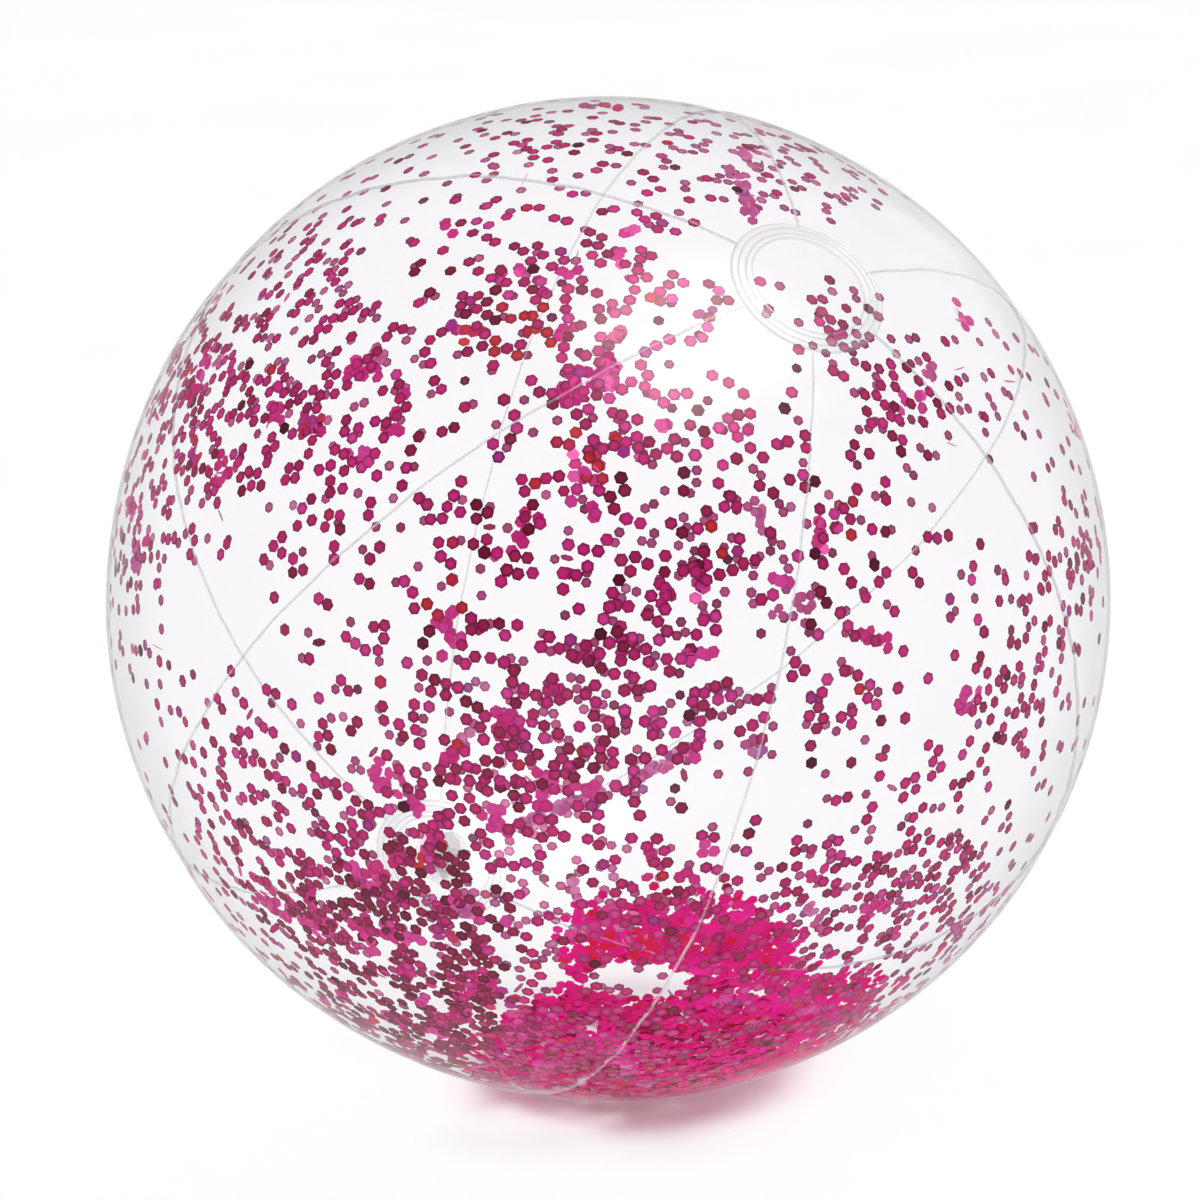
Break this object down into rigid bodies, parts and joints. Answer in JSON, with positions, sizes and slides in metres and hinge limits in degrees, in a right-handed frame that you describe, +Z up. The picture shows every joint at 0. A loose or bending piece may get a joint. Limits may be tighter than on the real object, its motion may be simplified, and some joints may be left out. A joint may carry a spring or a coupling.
{
  "type": "inflatable beach ball",
  "caption": "Clear inflatable beach ball of welded gore panels with round end discs, a push-in valve with check flap and stopper, and loose foil glitter inside.",
  "frame": {"origin": "centre of the flattened contact patch, on the ground under the ball's centre", "axes": "+Z up. The pole axis lies in the plane x = 0: the plain front disc faces -Y and up, 48 degrees above the horizon, and the disc with the valve faces +Y and down"},
  "size_m": [0.45, 0.4494, 0.4479],
  "materials": {
    "panel_film": "gloss",
    "disc_film": "gloss",
    "valve_flange_vinyl": "satin",
    "valve_stem_vinyl": "satin",
    "check_flap_vinyl": "satin",
    "stopper_vinyl": "satin",
    "tether_vinyl": "satin",
    "cling_flakes": "gloss",
    "heap_flakes": "gloss"
  },
  "bodies": {
    "ball": {"panel_1": "panel_film", "panel_2": "panel_film", "panel_3": "panel_film", "panel_4": "panel_film", "panel_5": "panel_film", "panel_6": "panel_film", "front_disc": "disc_film", "rear_disc": "disc_film", "valve_flange": "valve_flange_vinyl", "glitter_cling_1": "cling_flakes", "glitter_cling_2": "cling_flakes", "glitter_cling_3": "cling_flakes", "glitter_cling_4": "cling_flakes", "glitter_cling_5": "cling_flakes", "glitter_cling_6": "cling_flakes", "glitter_heap": "heap_flakes"},
    "valve": {"valve_stem": "valve_stem_vinyl", "plug_tether": "tether_vinyl"},
    "flap": {"check_flap": "check_flap_vinyl"},
    "stopper": {"valve_plug": "stopper_vinyl"}
  },
  "joints": [
    {"name": "valve_slide", "type": "slide", "parent": "ball", "child": "valve", "axis": [0, 0.6691, -0.7431], "range_m": [0, 0.0105]},
    {"name": "stopper_pull", "type": "slide", "parent": "valve", "child": "stopper", "axis": [0, 0.6691, -0.7431], "range_m": [0, 0.009]},
    {"name": "flap_hinge", "type": "hinge", "parent": "valve", "child": "flap", "pos_m": [0, 0.14294, 0.07287], "axis": [-1, 0, 0], "range_deg": [0, 60]}
  ]
}
